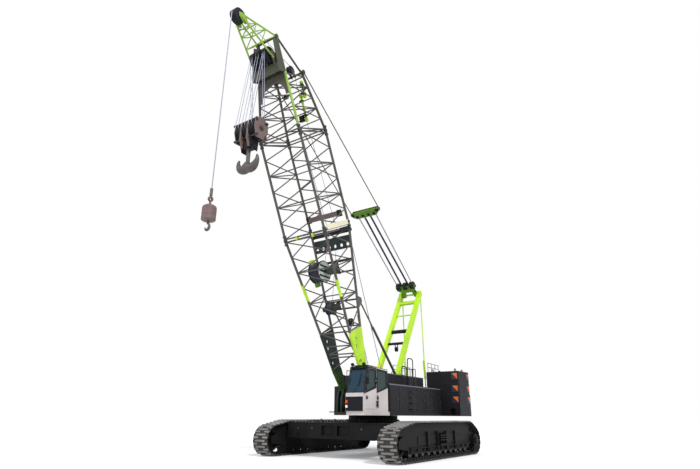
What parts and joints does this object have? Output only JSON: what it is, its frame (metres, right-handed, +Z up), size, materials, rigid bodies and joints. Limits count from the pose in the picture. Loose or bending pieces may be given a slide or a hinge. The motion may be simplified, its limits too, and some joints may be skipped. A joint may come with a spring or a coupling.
{
  "type": "crawler crane",
  "caption": "Crawler crane with a lattice boom on a slewing upper, gantry and bridle, stacked counterweights, hook block and auxiliary hook, on shoe tracks.",
  "frame": {"origin": "slew centre on the ground", "axes": "+Z up, the machine looks towards -Y, +X is its left side"},
  "size_m": [7.87, 17.7845, 19.1378],
  "materials": {
    "lime_paint": "semi-gloss paint",
    "olive_paint": "semi-gloss paint",
    "lattice_paint": "satin paint",
    "charcoal_paint": "satin paint",
    "undercarriage_paint": "satin paint",
    "track_steel": "worn cast steel",
    "bare_steel": "machined",
    "cab_paint": "semi-gloss paint",
    "cab_glass": "tinted",
    "seat_fabric": "woven",
    "block_paint": "worn paint",
    "sheave_iron": "cast",
    "engine_iron": "cast",
    "wire_rope": "stranded wire"
  },
  "bodies": {
    "undercarriage": {"carbody": "undercarriage_paint", "slewing_ring": "undercarriage_paint", "track_frame_left": "undercarriage_paint", "track_frame_right": "undercarriage_paint", "rollers_left": "bare_steel", "rollers_right": "bare_steel", "idlers": "undercarriage_paint", "final_drives": "bare_steel", "track_left": "track_steel", "track_right": "track_steel"},
    "upper": {"revolving_frame": "charcoal_paint", "house_left": "charcoal_paint", "house_right": "charcoal_paint", "engine": "engine_iron", "cab_shell": "cab_paint", "cab_glass": "cab_glass", "cab_seat": "seat_fabric", "counterweight_lower": "charcoal_paint", "counterweight_middle": "charcoal_paint", "counterweight_upper": "charcoal_paint", "gantry_legs": "lime_paint", "gantry_backstays": "lime_paint", "boom_hoist_drum": "charcoal_paint", "handrails": "bare_steel", "exhaust": "bare_steel"},
    "door": {"cab_door": "cab_paint", "door_glass": "cab_glass"},
    "boom": {"boom_bottom": "olive_paint", "boom_foot_plates": "lime_paint", "boom_insert": "lattice_paint", "boom_top": "olive_paint", "boom_head": "olive_paint", "tip_extension": "lime_paint", "winch_frames": "charcoal_paint", "main_drum": "bare_steel", "aux_drum": "bare_steel", "rope_guides": "sheave_iron", "pendants": "olive_paint"},
    "luffing_tackle": {"gantry_sheaves": "sheave_iron", "gantry_ropes": "wire_rope"},
    "bridle": {"luffing_bridle": "olive_paint", "bridle_ropes": "wire_rope"},
    "backstop_tube": {"backstop_tubes": "olive_paint"},
    "backstop_rod": {"backstop_rods": "olive_paint"},
    "main_fall": {"head_sheaves": "sheave_iron"},
    "main_block": {"hook_block": "block_paint"},
    "main_hook": {"ramshorn_hook": "block_paint"},
    "aux_fall": {"tip_sheave": "sheave_iron"},
    "aux_drop": {"aux_weight": "block_paint"},
    "aux_hook_body": {"aux_hook": "block_paint"}
  },
  "joints": [
    {"name": "slew", "type": "hinge", "parent": "undercarriage", "child": "upper", "pos_m": [0, 0, 1.85], "axis": [0, 0, 1], "continuous": true},
    {"name": "cab_door_hinge", "type": "hinge", "parent": "upper", "child": "door", "pos_m": [1.942, -2.79, 2.3], "axis": [0, 0, 1], "range_deg": [0, 90]},
    {"name": "boom_luff", "type": "hinge", "parent": "upper", "child": "boom", "pos_m": [0, -1.503, 3.033], "axis": [-1, 0, 0], "range_deg": [-34, 14]},
    {"name": "tackle_turn", "type": "hinge", "parent": "upper", "child": "luffing_tackle", "pos_m": [0, 4.62, 9.06], "axis": [-1, 0, 0], "range_deg": [-24, 10]},
    {"name": "bridle_travel", "type": "slide", "parent": "luffing_tackle", "child": "bridle", "axis": [0, -0.8077, 0.5896], "range_m": [-2.1, 5]},
    {"name": "backstop_turn", "type": "hinge", "parent": "upper", "child": "backstop_tube", "pos_m": [0, 1.05, 3.72], "axis": [-1, 0, 0], "range_deg": [-24.5, 10.5]},
    {"name": "backstop_slide", "type": "slide", "parent": "backstop_tube", "child": "backstop_rod", "axis": [0, -0.7213, 0.6927], "range_m": [-0.5, 1.2]},
    {"name": "main_fall_turn", "type": "hinge", "parent": "boom", "child": "main_fall", "pos_m": [0, -9.62768, 17.64907], "axis": [-1, 0, 0], "range_deg": [-14.5, 34.5]},
    {"name": "main_hoist", "type": "slide", "parent": "main_fall", "child": "main_block", "axis": [0, 0, 1], "range_m": [-2.5, 0.3]},
    {"name": "main_hook_swivel", "type": "hinge", "parent": "main_block", "child": "main_hook", "pos_m": [0, -10.00768, 12], "axis": [0, 0, 1], "continuous": true},
    {"name": "aux_fall_turn", "type": "hinge", "parent": "boom", "child": "aux_fall", "pos_m": [0, -11.36169, 18.79285], "axis": [-1, 0, 0], "range_deg": [-14.5, 34.5]},
    {"name": "aux_hoist", "type": "slide", "parent": "aux_fall", "child": "aux_drop", "axis": [0, 0, 1], "range_m": [-0.1, 6]},
    {"name": "aux_hook_swivel", "type": "hinge", "parent": "aux_drop", "child": "aux_hook_body", "pos_m": [0, -11.72169, 8.6], "axis": [0, 0, 1], "continuous": true}
  ],
  "couplings": [
    {"joint": "tackle_turn", "follows": "boom_luff", "ratio": 0.69},
    {"joint": "bridle_travel", "follows": "boom_luff", "m_per_rad": -8.3},
    {"joint": "backstop_turn", "follows": "boom_luff", "ratio": 0.71},
    {"joint": "backstop_slide", "follows": "boom_luff", "m_per_rad": -2},
    {"joint": "main_fall_turn", "follows": "boom_luff", "ratio": -1},
    {"joint": "aux_fall_turn", "follows": "boom_luff", "ratio": -1}
  ]
}
